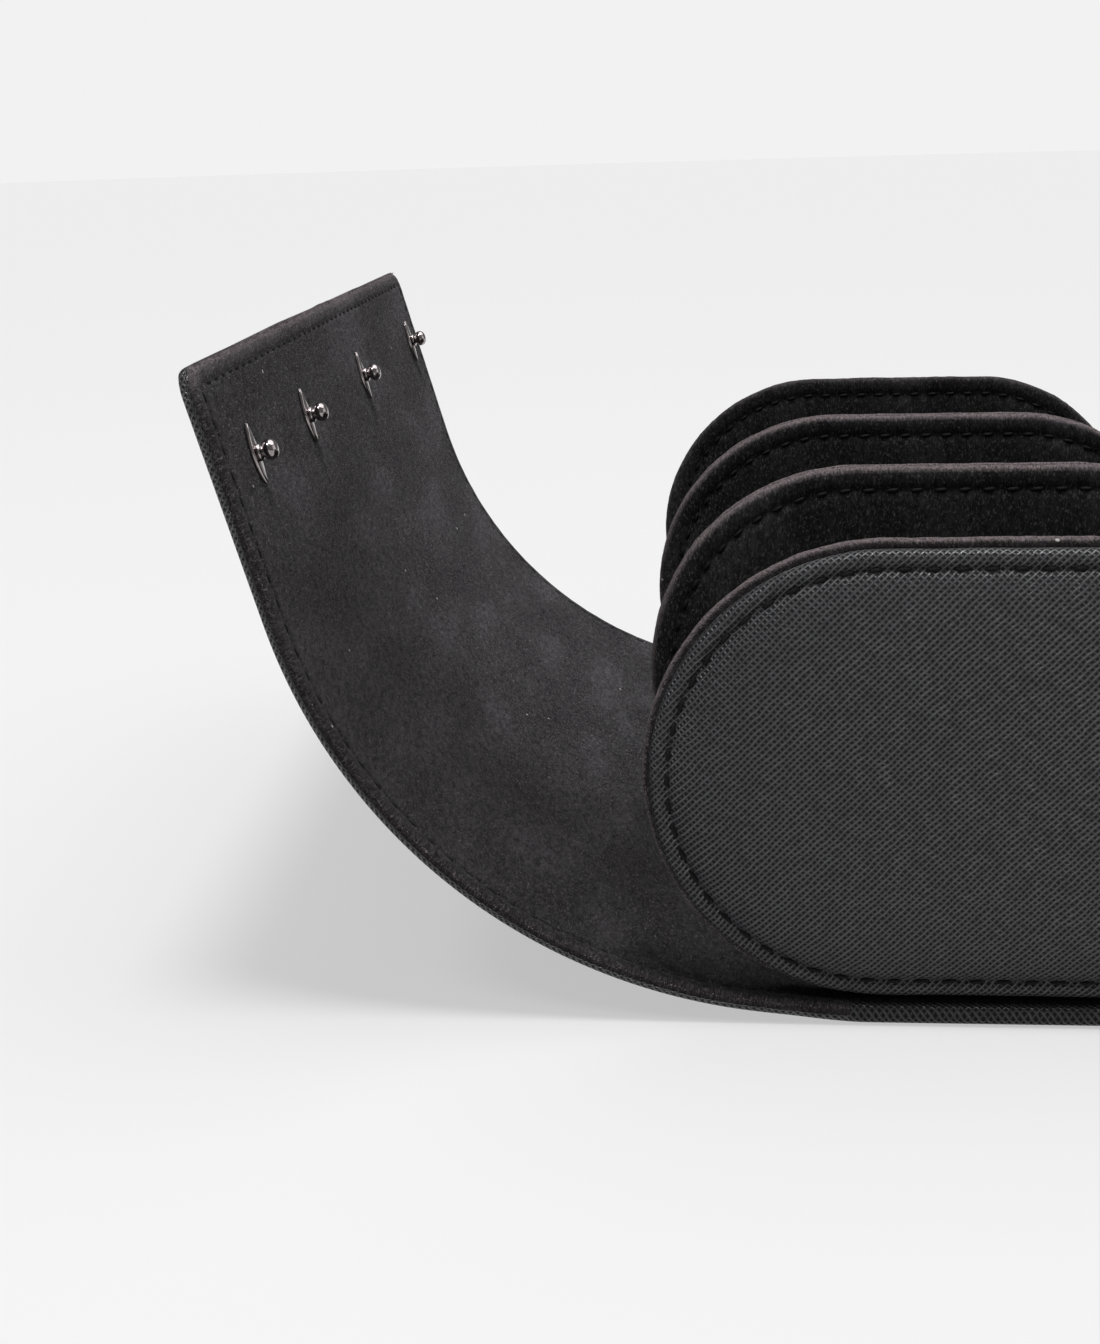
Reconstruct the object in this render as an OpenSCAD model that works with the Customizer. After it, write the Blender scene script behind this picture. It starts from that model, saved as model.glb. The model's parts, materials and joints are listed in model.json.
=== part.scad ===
// Suede-lined jewelry box that unrolls: stadium panels on a base strip, with a folding flap
// at each end. X runs along the roll-out, Y from front to back, Z up from the table.
// Origin: centre of the base's underside. All sizes in mm.

/* [Node] */
// Which node to draw

/* [Box] */
// Height of each stadium panel
panel_h = 90; // [70:1:120]
// Length of the straight part of a panel, between its round ends
panel_flat = 46; // [30:1:80]
// Thickness of a finished panel
panel_t = 7; // [5:0.5:10]
// Distance from one panel to the next
panel_pitch = 70; // [50:1:90]
// Radius round the outer edge of a panel
panel_edge_r = 1.8; // [1:0.1:2.2]
// How much of an end panel's thickness its leather takes
end_skin_t = 3.2; // [3.1:0.1:4.5]

/* [Sheet] */
// Thickness of the base: leather, board and lining
base_t = 4; // [3:0.2:6]
// Thickness of a flap: leather and lining
flap_t = 3.4; // [3:0.2:5]
// Thickness of one layer of leather
leather_t = 1.2; // [1:0.1:1.4]
// Thickness of one layer of lining
lining_t = 1; // [0.8:0.1:1.2]
// How far the base and flaps stand out past the end panels
sheet_proud = 1; // [0.5:0.5:3]

/* [Flaps] */
// Length of the left flap's stiff end, which carries the hooks
left_end_l = 61; // [45:1:70]
// Length of the right flap's stiff end, which carries the snap sockets
right_end_l = 64; // [50:1:75]
// Bend at a flap's first fold, beside the panels, with the flap open as stored
rest_fold = 7; // [0:0.5:20]
// Bend at each later fold with the flap open as stored
rest_curl = 13.5; // [5:0.5:20]
// Room between a closed flap and the panels
wrap_gap = 0.6; // [0.5:0.1:2]
// Room between the two closed flaps
lap_gap = 1; // [0.8:0.1:2]
// Radius of the flaps' free corners
corner_r = 4; // [2:0.5:8]

/* [Hooks] */
// Distance of the hooks from the left flap's free edge
hook_inset = 20; // [16:1:24]
// Gap from the front panel's back to the first hook's middle
hook_gap_1 = 13; // [4:1:50]
// Gap from the second hook's middle to the front divider
hook_gap_2 = 4; // [4:1:50]
// Gap from the third hook's middle to the rear divider
hook_gap_3 = 10; // [4:1:50]
// Gap from the last hook's middle to the rear panel
hook_gap_4 = 6; // [4:1:50]
// Length of a hook's leaf plate
leaf_l = 12.2; // [10:0.2:15]
// Width of a hook's leaf plate
leaf_w = 4; // [3:0.1:6]
// Height of a hook above its plate
hook_h = 4; // [3.8:0.2:6]
// Radius of a hook's head
hook_head_r = 2.1; // [1.8:0.1:2.6]

/* [Snaps] */
// Distance of each snap from the middle, front and back
snap_y = 62; // [40:1:80]
// Distance of the snaps from the right flap's free edge
snap_inset = 13; // [10:1:20]
// Radius of a snap's outer cap
cap_r = 6; // [5:0.5:7]
// Radius of the hole in a snap socket
socket_hole_r = 2.9; // [2.5:0.1:3.2]

/* [Stitching] */
// Distance from one stitch to the next
stitch_pitch = 5; // [3:0.5:8]
// Length of thread that shows in a stitch
stitch_l = 3.6; // [2:0.2:5]
// Thickness of the thread
stitch_w = 0.7; // [0.5:0.1:1]
// Distance of a flap's stitching from its edge
stitch_inset = 3.4; // [3:0.1:5]
// Distance of a panel's stitching from its edge
panel_stitch_inset = 4.8; // [3:0.1:6]

/* [Hidden] */
$fn = 96;
tiny = 0.01;
fold_count = 6;
round_turn = 180;
full_bend = round_turn / fold_count;
panel_r = panel_h / 2;
mid_z = base_t + panel_r;
box_depth = 3 * panel_pitch + panel_t;
sheet_y = box_depth + 2 * sheet_proud;
board_rim = 2.5;
board_half_t = 1.3;
left_wrap_r = panel_r + wrap_gap;
right_wrap_r = left_wrap_r + (flap_t + lap_gap) / 2;
left_link = 2 * left_wrap_r * tan(full_bend / 2);
right_link = 2 * right_wrap_r * tan(full_bend / 2);
left_fold_x = panel_flat / 2 + left_link / 2;
right_fold_x = panel_flat / 2 + right_link / 2;
fold_gap = 0.15;
end_board_t = flap_t - leather_t - lining_t;
base_board_t = base_t - leather_t - lining_t;
sheet_rim = 2;
stitch_h = 0.3;
hook_x = left_end_l - hook_inset;
leaf_t = 0.8;
leaf_arc_r = (leaf_l * leaf_l + leaf_w * leaf_w) / (4 * leaf_w);
collar_r = 1.8;
collar_h = 0.8;
waist_r = 1.1;
head_half_h = 1.6;
rivet_r = 1;
rivet_head_r = 3;
rivet_head_t = 0.4;
snap_x = right_end_l - snap_inset;
snap_left_x = left_fold_x + right_fold_x - snap_x;
shank_r = 1.2;
cap_t = 0.9;
socket_r = 4.5;
socket_t = 1.6;
socket_floor_t = 0.5;
stud_base_r = 3.4;
stud_base_t = 0.5;
stud_r = 2.2;
stud_h = 1.7;
post_head_r = 3.5;

saffiano = [0.13, 0.13, 0.14];
suede = [0.2, 0.19, 0.2];
board = [0.62, 0.52, 0.4];
thread = [0.05, 0.05, 0.05];
steel = [0.7, 0.7, 0.72];

// ---- Shared shapes ----

module stadium(radius, thick) {
  linear_extrude(height = thick) {
    translate([-panel_flat / 2, 0]) circle(r = radius);
    translate([panel_flat / 2, 0]) circle(r = radius);
    translate([-panel_flat / 2, -radius]) square([panel_flat, 2 * radius]);
  }
}

module pad_profile(thick) {
  square([panel_r - panel_edge_r, thick]);
  square([panel_r, thick - panel_edge_r]);
  translate([panel_r - panel_edge_r, thick - panel_edge_r]) circle(r = panel_edge_r);
}

module cut_profile(thick) {
  intersection() {
    pad_profile(thick);
    square([panel_r, thick]);
  }
}

module pad(thick) {
  for (side = [-1, 1])
    translate([side * panel_flat / 2, 0, 0]) rotate_extrude() cut_profile(thick);
  rotate([90, 0, 90]) translate([0, 0, -panel_flat / 2]) linear_extrude(height = panel_flat) {
    cut_profile(thick);
    mirror([1, 0]) cut_profile(thick);
  }
}

module half_panel(thick) {
  difference() {
    pad(thick);
    translate([0, 0, -tiny]) stadium(panel_r - board_rim, board_half_t + tiny);
  }
}

// Stands a shape up with its drawn top towards the front, its seam at seam_y
module face_front(seam_y) {
  translate([0, seam_y, mid_z]) rotate([90, 0, 0]) children();
}

module face_back(seam_y) {
  translate([0, seam_y, mid_z]) rotate([90, 0, 180]) children();
}

module stitch() {
  translate([-stitch_l / 2, -stitch_w / 2, 0]) cube([stitch_l, stitch_w, stitch_h]);
}

module stitch_line(length) {
  count = floor(length / stitch_pitch);
  for (i = [0 : count - 1])
    translate([(i + 0.5) * length / count, 0, 0]) stitch();
}

module stadium_stitches() {
  path_r = panel_r - panel_stitch_inset;
  count = floor(PI * path_r / stitch_pitch);
  for (side = [0, 1]) rotate([0, 0, side * round_turn]) {
    for (i = [0 : count - 1])
      translate([panel_flat / 2, 0, 0]) rotate([0, 0, -90 + (i + 0.5) * round_turn / count])
        translate([path_r, 0, 0]) rotate([0, 0, 90]) stitch();
    translate([-panel_flat / 2, path_r, 0]) stitch_line(panel_flat);
  }
}

// ---- Panels ----

function panel_y(i) = -box_depth / 2 + i * panel_pitch;
function seam_y(i) = panel_y(i) + (i == 0 ? end_skin_t : i == 3 ? panel_t - end_skin_t : panel_t / 2);

module panel_front_half(i) {
  face_front(seam_y(i)) half_panel(seam_y(i) - panel_y(i));
}

module panel_back_half(i) {
  face_back(seam_y(i)) half_panel(panel_y(i) + panel_t - seam_y(i));
}

module panel_core(i) {
  color(board) face_front(seam_y(i) + board_half_t) stadium(panel_r - board_rim, 2 * board_half_t);
}

module panel_stitching(i) {
  color(thread) {
    face_front(panel_y(i)) stadium_stitches();
    face_back(panel_y(i) + panel_t) stadium_stitches();
  }
}

module front_panel_cover() { color(saffiano) panel_front_half(0); }
module front_panel_board() { panel_core(0); }
module front_panel_lining() { color(suede) panel_back_half(0); }
module front_panel_stitching() { panel_stitching(0); }
module front_divider_cover() { color(suede) panel_front_half(1); }
module front_divider_board() { panel_core(1); }
module front_divider_lining() { color(suede) panel_back_half(1); }
module front_divider_stitching() { panel_stitching(1); }
module rear_divider_cover() { color(suede) panel_front_half(2); }
module rear_divider_board() { panel_core(2); }
module rear_divider_lining() { color(suede) panel_back_half(2); }
module rear_divider_stitching() { panel_stitching(2); }
module rear_panel_cover() { color(saffiano) panel_back_half(3); }
module rear_panel_board() { panel_core(3); }
module rear_panel_lining() { color(suede) panel_front_half(3); }
module rear_panel_stitching() { panel_stitching(3); }

// ---- Base ----

base_x0 = -left_fold_x + fold_gap;
base_l = left_fold_x + right_fold_x - 2 * fold_gap;

module base_slab(z, thick, rim) {
  translate([base_x0 + rim, rim - sheet_y / 2, z]) cube([base_l - 2 * rim, sheet_y - 2 * rim, thick]);
}

module base_cover() {
  color(saffiano) difference() {
    base_slab(0, leather_t + base_board_t, 0);
    base_slab(leather_t, base_board_t + tiny, sheet_rim);
  }
}

module base_board() {
  color(board) base_slab(leather_t, base_board_t, sheet_rim);
}

module base_lining() {
  color(suede) base_slab(leather_t + base_board_t, lining_t, 0);
}

// ---- Flaps ----

// A fold's place with the flap open as stored, measured outwards from the middle of the box
function slope(i) = rest_fold + (i - 1) * rest_curl;
function fold_x(i, first, link) = i <= 1 ? first : fold_x(i - 1, first, link) + link * cos(slope(i - 1));
function fold_z(i, link) = i <= 1 ? base_t : fold_z(i - 1, link) + link * sin(slope(i - 1));

// Draws in the frame of strip i: x outwards from its fold, the lining's face at z = 0
module on_right(i) {
  translate([fold_x(i, right_fold_x, right_link), 0, fold_z(i, right_link)])
    rotate([0, -slope(i), 0]) children();
}

module on_left(i) {
  mirror([1, 0, 0]) translate([fold_x(i, left_fold_x, left_link), 0, fold_z(i, left_link)])
    rotate([0, -slope(i), 0]) children();
}

module strip(link, top, thick) {
  translate([fold_gap, -sheet_y / 2, top - thick]) cube([link - 2 * fold_gap, sheet_y, thick]);
}

module strip_cover(link) { color(saffiano) strip(link, leather_t - flap_t, leather_t); }
module strip_lining(link) { color(suede) strip(link, 0, flap_t - leather_t); }

// A flap's stiff end, with its free corners rounded
module end_slab(length, top, thick, rim) {
  x0 = fold_gap + rim;
  x1 = length - rim;
  y1 = sheet_y / 2 - rim;
  translate([0, 0, top - thick]) {
    translate([x0, -y1, 0]) cube([x1 - corner_r - x0, 2 * y1, thick]);
    translate([x1 - corner_r - tiny, corner_r - y1, 0])
      cube([corner_r + tiny, 2 * (y1 - corner_r), thick]);
    for (side = [-1, 1])
      translate([x1 - corner_r, side * (y1 - corner_r), 0]) cylinder(r = corner_r, h = thick);
  }
}

module end_cover(length) {
  difference() {
    end_slab(length, -lining_t, end_board_t + leather_t, 0);
    end_slab(length, tiny - lining_t, end_board_t + tiny, sheet_rim);
  }
}

module end_stitches(length) {
  side_l = length - fold_gap - stitch_inset - corner_r;
  back_l = sheet_y - 2 * stitch_inset - 2 * corner_r;
  for (z = [0, -flap_t - stitch_h]) translate([0, 0, z]) {
    for (side = [-1, 1])
      translate([fold_gap, side * (sheet_y / 2 - stitch_inset), 0]) stitch_line(side_l);
    translate([length - stitch_inset, -back_l / 2, 0]) rotate([0, 0, 90]) stitch_line(back_l);
  }
}

hook_places = [panel_y(0) + panel_t + hook_gap_1, panel_y(1) - hook_gap_2, panel_y(2) - hook_gap_3,
  panel_y(3) - hook_gap_4];

module at_hooks() {
  for (y = hook_places) translate([hook_x, y, 0]) children();
}

module at_snaps(x) {
  for (side = [-1, 1]) translate([x, side * snap_y, 0]) children();
}

module rivet() {
  translate([0, 0, -lining_t - end_board_t]) cylinder(r = rivet_r, h = lining_t + end_board_t + leaf_t);
  translate([0, 0, -lining_t - end_board_t - rivet_head_t]) cylinder(r = rivet_head_r, h = rivet_head_t);
}

module post() {
  translate([0, 0, -flap_t]) cylinder(r = shank_r, h = flap_t - lining_t);
  translate([0, 0, -lining_t - rivet_head_t]) cylinder(r = post_head_r, h = rivet_head_t);
}

module left_flap_cover(i) { on_left(i) strip_cover(left_link); }
module left_flap_lining(i) { on_left(i) strip_lining(left_link); }
module right_flap_cover(i) { on_right(i) strip_cover(right_link); }
module right_flap_lining(i) { on_right(i) strip_lining(right_link); }

module left_end_cover() {
  color(saffiano) on_left(fold_count) difference() {
    end_cover(left_end_l);
    at_hooks() rivet();
    at_snaps(snap_left_x) post();
  }
}

module left_end_board() {
  color(board) on_left(fold_count) difference() {
    end_slab(left_end_l, -lining_t, end_board_t, sheet_rim);
    at_hooks() rivet();
    at_snaps(snap_left_x) post();
  }
}

module left_end_lining() {
  color(suede) on_left(fold_count) difference() {
    end_slab(left_end_l, 0, lining_t, 0);
    at_hooks() rivet();
  }
}

module left_end_stitching() {
  color(thread) on_left(fold_count) end_stitches(left_end_l);
}

module right_end_cover() {
  color(saffiano) on_right(fold_count) difference() {
    end_cover(right_end_l);
    at_snaps(snap_x) translate([0, 0, -flap_t - tiny]) cylinder(r = shank_r, h = flap_t);
  }
}

module right_end_board() {
  color(board) on_right(fold_count) difference() {
    end_slab(right_end_l, -lining_t, end_board_t, sheet_rim);
    at_snaps(snap_x) translate([0, 0, -flap_t]) cylinder(r = shank_r, h = flap_t);
    at_snaps(snap_x) translate([0, 0, -socket_t]) cylinder(r = socket_r, h = socket_t);
  }
}

module right_end_lining() {
  color(suede) on_right(fold_count) difference() {
    end_slab(right_end_l, 0, lining_t, 0);
    at_snaps(snap_x) translate([0, 0, -socket_t]) cylinder(r = socket_r, h = socket_t + tiny);
  }
}

module right_end_stitching() {
  color(thread) on_right(fold_count) end_stitches(right_end_l);
}

// ---- Hooks and snaps ----

module leaf() {
  intersection_for (side = [-1, 1])
    translate([0, side * (leaf_arc_r - leaf_w / 2), 0]) cylinder(r = leaf_arc_r, h = leaf_t);
}

module hook_plates() {
  color(steel) on_left(fold_count) at_hooks() difference() {
    leaf();
    translate([0, 0, -tiny]) cylinder(r = rivet_r, h = leaf_t + 2 * tiny);
  }
}

module hook_knobs() {
  color(steel) on_left(fold_count) at_hooks() translate([0, 0, leaf_t]) {
    cylinder(r = collar_r, h = collar_h);
    cylinder(r = waist_r, h = hook_h - head_half_h);
    translate([0, 0, hook_h - head_half_h]) intersection() {
      sphere(r = hook_head_r);
      translate([-hook_head_r, -hook_head_r, -head_half_h])
        cube([2 * hook_head_r, 2 * hook_head_r, 2 * head_half_h]);
    }
  }
}

module hook_rivets() {
  color(steel) on_left(fold_count) at_hooks() rivet();
}

module snap_caps() {
  color(steel) on_right(fold_count) at_snaps(snap_x) {
    translate([0, 0, -flap_t - cap_t]) cylinder(r = cap_r, h = cap_t);
    translate([0, 0, -flap_t - tiny]) cylinder(r = shank_r, h = flap_t + tiny - socket_t);
  }
}

module snap_sockets() {
  color(steel) on_right(fold_count) at_snaps(snap_x) difference() {
    translate([0, 0, -socket_t]) cylinder(r = socket_r, h = socket_t);
    translate([0, 0, socket_floor_t - socket_t]) cylinder(r = socket_hole_r, h = socket_t);
  }
}

module snap_studs() {
  color(steel) on_left(fold_count) at_snaps(snap_left_x) translate([0, 0, -flap_t]) mirror([0, 0, 1]) {
    cylinder(r = stud_base_r, h = stud_base_t);
    translate([0, 0, stud_h - stud_r]) intersection() {
      sphere(r = stud_r);
      translate([-stud_r, -stud_r, stud_r - stud_h]) cube([2 * stud_r, 2 * stud_r, stud_h]);
    }
  }
}

module snap_posts() {
  color(steel) on_left(fold_count) at_snaps(snap_left_x) post();
}

base_cover();
base_board();
base_lining();
front_panel_cover();
front_panel_board();
front_panel_lining();
front_panel_stitching();
front_divider_cover();
front_divider_board();
front_divider_lining();
front_divider_stitching();
rear_divider_cover();
rear_divider_board();
rear_divider_lining();
rear_divider_stitching();
rear_panel_cover();
rear_panel_board();
rear_panel_lining();
rear_panel_stitching();
left_flap_cover(1);  // left_flap_cover_1
left_flap_cover(2);  // left_flap_cover_2
left_flap_cover(3);  // left_flap_cover_3
left_flap_cover(4);  // left_flap_cover_4
left_flap_cover(5);  // left_flap_cover_5
left_flap_lining(1);  // left_flap_lining_1
left_flap_lining(2);  // left_flap_lining_2
left_flap_lining(3);  // left_flap_lining_3
left_flap_lining(4);  // left_flap_lining_4
left_flap_lining(5);  // left_flap_lining_5
left_end_cover();
left_end_board();
left_end_lining();
left_end_stitching();
right_flap_cover(1);  // right_flap_cover_1
right_flap_cover(2);  // right_flap_cover_2
right_flap_cover(3);  // right_flap_cover_3
right_flap_cover(4);  // right_flap_cover_4
right_flap_cover(5);  // right_flap_cover_5
right_flap_lining(1);  // right_flap_lining_1
right_flap_lining(2);  // right_flap_lining_2
right_flap_lining(3);  // right_flap_lining_3
right_flap_lining(4);  // right_flap_lining_4
right_flap_lining(5);  // right_flap_lining_5
right_end_cover();
right_end_board();
right_end_lining();
right_end_stitching();
hook_plates();
hook_knobs();
hook_rivets();
snap_caps();
snap_sockets();
snap_studs();
snap_posts();
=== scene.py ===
import bpy
import bmesh
import json
import math
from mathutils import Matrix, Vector, noise


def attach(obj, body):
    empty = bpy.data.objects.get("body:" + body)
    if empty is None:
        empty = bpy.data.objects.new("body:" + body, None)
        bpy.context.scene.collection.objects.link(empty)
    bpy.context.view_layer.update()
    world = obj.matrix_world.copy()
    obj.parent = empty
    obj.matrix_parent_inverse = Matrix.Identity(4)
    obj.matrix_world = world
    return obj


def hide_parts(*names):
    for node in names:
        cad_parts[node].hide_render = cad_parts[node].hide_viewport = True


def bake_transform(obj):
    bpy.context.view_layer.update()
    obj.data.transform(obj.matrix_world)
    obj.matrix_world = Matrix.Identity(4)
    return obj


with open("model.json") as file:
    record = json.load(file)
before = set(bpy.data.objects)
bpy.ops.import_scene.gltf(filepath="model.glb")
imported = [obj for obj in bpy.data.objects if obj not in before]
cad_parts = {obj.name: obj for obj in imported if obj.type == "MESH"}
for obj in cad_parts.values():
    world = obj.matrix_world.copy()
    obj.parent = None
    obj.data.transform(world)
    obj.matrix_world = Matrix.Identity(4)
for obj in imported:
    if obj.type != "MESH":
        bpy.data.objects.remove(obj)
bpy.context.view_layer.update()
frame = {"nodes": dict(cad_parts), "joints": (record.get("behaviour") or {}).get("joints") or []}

# Sizes in mm, as the rigid frame has them. Lengths along a flap run outwards from the box's middle.
mm = 0.001
boxSize = {
    "panelRadius": 45.0,
    "panelFlat": 46.0,
    "panelThick": 7.0,
    "panelPitch": 70.0,
    "baseThick": 4.0,
    "sheetThick": 3.4,
    "sheetHalfWidth": 109.5,
    "endLength": {"left": 61.0, "right": 64.0},
    "cornerRadius": 5.5,
}
boxDepth = 3 * boxSize["panelPitch"] + boxSize["panelThick"]
panelMid = boxSize["baseThick"] + boxSize["panelRadius"]


def smooth(low, high, value):
    t = min(1.0, max(0.0, (value - low) / (high - low)))
    return t * t * (3 - 2 * t)


def soften(x, y, z, size):
    # gentle unevenness, from -1 to 1, that doesn't repeat
    return noise.noise(Vector((x / size, y / size, z / size)))


camera = {
    "place": (-55.44, -414.49, 166.19),
    "turn": (75.0306, 1.6525, 4.8824),
    "lens": 46.875,
    "shiftUp": -0.0536,
}
bpy.ops.object.camera_add(
    location=[v * mm for v in camera["place"]],
    rotation=[math.radians(v) for v in camera["turn"]],
)
viewCamera = bpy.context.object
viewCamera.data.lens = camera["lens"]
viewCamera.data.sensor_width = 36
viewCamera.data.shift_y = camera["shiftUp"]
viewCamera.data.clip_start = 0.01
bpy.context.scene.camera = viewCamera


def hexColor(code):
    # sRGB hex to linear
    values = [int(code[i:i + 2], 16) / 255 for i in (1, 3, 5)]
    return [v / 12.92 if v <= 0.04045 else ((v + 0.055) / 1.055) ** 2.4 for v in values] + [1]


def addNode(tree, kind, values=None, links=None, **settings):
    node = tree.nodes.new(kind)
    for key, value in settings.items():
        setattr(node, key, value)
    for key, value in (values or {}).items():
        node.inputs[key].default_value = value
    for key, source in (links or {}).items():
        tree.links.new(source, node.inputs[key])
    return node


def newMaterial(name):
    material = bpy.data.materials.new(name)
    material.use_nodes = True
    tree = material.node_tree
    tree.nodes.clear()
    return material, tree


def finishMaterial(tree, shader):
    addNode(tree, "ShaderNodeOutputMaterial", links={"Surface": shader.outputs[0]})


def rampNode(tree, source, stops):
    ramp = addNode(tree, "ShaderNodeValToRGB", links={"Fac": source})
    band = ramp.color_ramp
    band.elements[0].position, band.elements[0].color = stops[0]
    band.elements[1].position, band.elements[1].color = stops[-1]
    for place, color in stops[1:-1]:
        band.elements.new(place).color = color
    return ramp


studio = {
    # places in metres, turns and spreads in degrees; the key light picks out the grain's ridges and the metal
    "lights": {
        "topLight": {"kind": "SUN", "place": (0.3, 0.4, 1.2), "turn": (-14, 20, 0), "power": 2.1, "spread": 60},
        "keyLight": {"kind": "SUN", "place": (0, 0.1, 1.2), "turn": (5, 6, 0), "power": 2.9, "spread": 14},
        "sideLight": {"kind": "AREA", "place": (0.75, 0.05, 0.42), "turn": (0, 72, 0), "power": 1.2,
                      "size": (0.5, 0.8)},
        "frontLight": {"kind": "AREA", "place": (-0.45, -0.4, 0.85), "turn": (35, 0, -48), "power": 2.8,
                       "size": (0.22, 0.22)},
    },
    "fill": 0.22,
    "backdrop": 0.887,
    "floorColor": "#7c7c7c",
    "floorGlow": 0.5,
    "floorRadius": 9,
}


def buildStudio():
    bpy.ops.object.select_all(action="DESELECT")
    for name, light in studio["lights"].items():
        bpy.ops.object.light_add(type=light["kind"], location=light["place"],
                                 rotation=[math.radians(v) for v in light["turn"]])
        lamp = bpy.context.object
        lamp.name = name
        lamp.data.energy = light["power"]
        if light["kind"] == "SUN":
            lamp.data.angle = math.radians(light["spread"])
        else:
            lamp.data.shape = "RECTANGLE"
            lamp.data.size, lamp.data.size_y = light["size"]
    world = bpy.data.worlds.new("paleStudio")
    bpy.context.scene.world = world
    world.use_nodes = True
    tree = world.node_tree
    tree.nodes.clear()
    seen = addNode(tree, "ShaderNodeLightPath")
    # the surround lights the box softly and shows as a pale wall
    level = addNode(tree, "ShaderNodeMapRange", {"To Min": studio["fill"], "To Max": studio["backdrop"]},
                    {"Value": seen.outputs["Is Camera Ray"]})
    shade = addNode(tree, "ShaderNodeBackground", {"Color": (1, 1, 1, 1)},
                    {"Strength": level.outputs["Result"]})
    addNode(tree, "ShaderNodeOutputWorld", links={"Surface": shade.outputs[0]})
    bpy.ops.mesh.primitive_circle_add(vertices=96, radius=studio["floorRadius"], fill_type="NGON",
                                      location=(0, 0, -0.0002))
    floor = bpy.context.object
    floor.name = "floor"
    material, tree = newMaterial("paleMattPaint")
    shader = addNode(tree, "ShaderNodeBsdfPrincipled", {
        "Base Color": hexColor(studio["floorColor"]), "Roughness": 1.0, "Specular IOR Level": 0.0,
        "Emission Color": (1, 1, 1, 1), "Emission Strength": studio["floorGlow"]})
    finishMaterial(tree, shader)
    floor.data.materials.append(material)
    bpy.context.scene.view_settings.view_transform = "Standard"
    print("studio ready")



leatherLook = {
    # pits, flanks and ridges of the grain, and how much the ridges reflect
    "crossGrainLeather": (("#060607", "#0f0f11", "#2c2c31"), 1.0),
    # painted shade: the strip that wraps the base, and the flaps' roots, use a darker, duller copy of the grain
    # leather
    "shadedBaseLeather": (("#040404", "#08080a", "#151518"), 0.6),
}


def grainLeather(name):
    # cross-grained split leather, pressed with two fine diagonal rulings and lacquered: hard thin
    # ridges catch the light and the lens-shaped pits between them stay dark
    material, tree = newMaterial(name)
    colors, ridgeShine = leatherLook[name]
    place = addNode(tree, "ShaderNodeUVMap", uv_map="surfaceMm")
    drift = addNode(tree, "ShaderNodeTexNoise", {"Scale": 0.21, "Detail": 2.0}, {"Vector": place.outputs[0]})
    shift = addNode(tree, "ShaderNodeVectorMath", {1: (0.5, 0.5, 0.5)}, {0: drift.outputs["Color"]},
                    operation="SUBTRACT")
    moved = addNode(tree, "ShaderNodeVectorMath", {1: (0.9, 0.9, 0)}, {0: shift.outputs[0], 2: place.outputs[0]},
                    operation="MULTIPLY_ADD")
    rows = []
    for slant, pitch, keen in ((1, 0.96, 0.12), (-1, 1.0, 0.08)):  # mm between ridges
        along = addNode(tree, "ShaderNodeVectorMath", {1: (0.7071 / pitch, slant * 0.7071 / pitch, 0)},
                        {0: moved.outputs[0]}, operation="DOT_PRODUCT")
        wave = addNode(tree, "ShaderNodeMath", {1: 0.5}, {0: along.outputs["Value"]}, operation="PINGPONG")
        ridge = addNode(tree, "ShaderNodeMapRange", {"From Min": keen, "From Max": 0.44},
                        {"Value": wave.outputs[0]}, interpolation_type="SMOOTHSTEP")
        cell = addNode(tree, "ShaderNodeMath", {}, {0: along.outputs["Value"]}, operation="ROUND")
        rows.append((ridge, cell))
    pair = addNode(tree, "ShaderNodeCombineXYZ", {}, {"X": rows[0][1].outputs[0], "Y": rows[1][1].outputs[0]})
    chance = addNode(tree, "ShaderNodeTexWhiteNoise", {}, {"Vector": pair.outputs[0]})
    weaker = addNode(tree, "ShaderNodeMath", {1: 0.72}, {0: rows[0][0].outputs[0]}, operation="MULTIPLY")
    height = addNode(tree, "ShaderNodeMath", {2: 0.2}, {0: rows[1][0].outputs[0], 1: weaker.outputs[0]},
                     operation="SMOOTH_MAX")
    uneven = addNode(tree, "ShaderNodeMapRange", {"To Min": 0.7, "To Max": 1.0}, {"Value": chance.outputs["Value"]})
    grain = addNode(tree, "ShaderNodeMath", {}, {0: height.outputs[0], 1: uneven.outputs["Result"]},
                    operation="MULTIPLY")
    wear = addNode(tree, "ShaderNodeTexNoise", {"Scale": 0.06, "Detail": 3.0}, {"Vector": place.outputs[0]})
    color = rampNode(tree, grain.outputs[0], [
        (0.25, hexColor(colors[0])), (0.6, hexColor(colors[1])), (0.92, hexColor(colors[2]))])
    tone = addNode(tree, "ShaderNodeMapRange", {"To Min": 0.8, "To Max": 1.2}, {"Value": wear.outputs["Fac"]})
    toned = addNode(tree, "ShaderNodeVectorMath", {}, {0: color.outputs["Color"], "Scale": tone.outputs["Result"]},
                    operation="SCALE")
    gloss = addNode(tree, "ShaderNodeMapRange", {"To Min": 0.75, "To Max": 0.24}, {"Value": grain.outputs[0]})
    pores = addNode(tree, "ShaderNodeTexNoise", {"Scale": 6.0, "Detail": 2.0}, {"Vector": place.outputs[0]})
    deep = addNode(tree, "ShaderNodeMath", {1: 0.12}, {0: pores.outputs["Fac"], 2: grain.outputs[0]},
                   operation="MULTIPLY_ADD")
    bump = addNode(tree, "ShaderNodeBump", {"Strength": 1.0, "Distance": 0.00055}, {"Height": deep.outputs[0]})
    shine = addNode(tree, "ShaderNodeMapRange", {
        "From Min": 0.25, "From Max": 0.85, "To Min": 0.3 * ridgeShine, "To Max": ridgeShine},
        {"Value": grain.outputs[0]})
    shader = addNode(tree, "ShaderNodeBsdfPrincipled", {}, {
        "Base Color": toned.outputs[0], "Specular IOR Level": shine.outputs["Result"],
        "Roughness": gloss.outputs["Result"], "Normal": bump.outputs[0]})
    finishMaterial(tree, shader)
    return material


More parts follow.
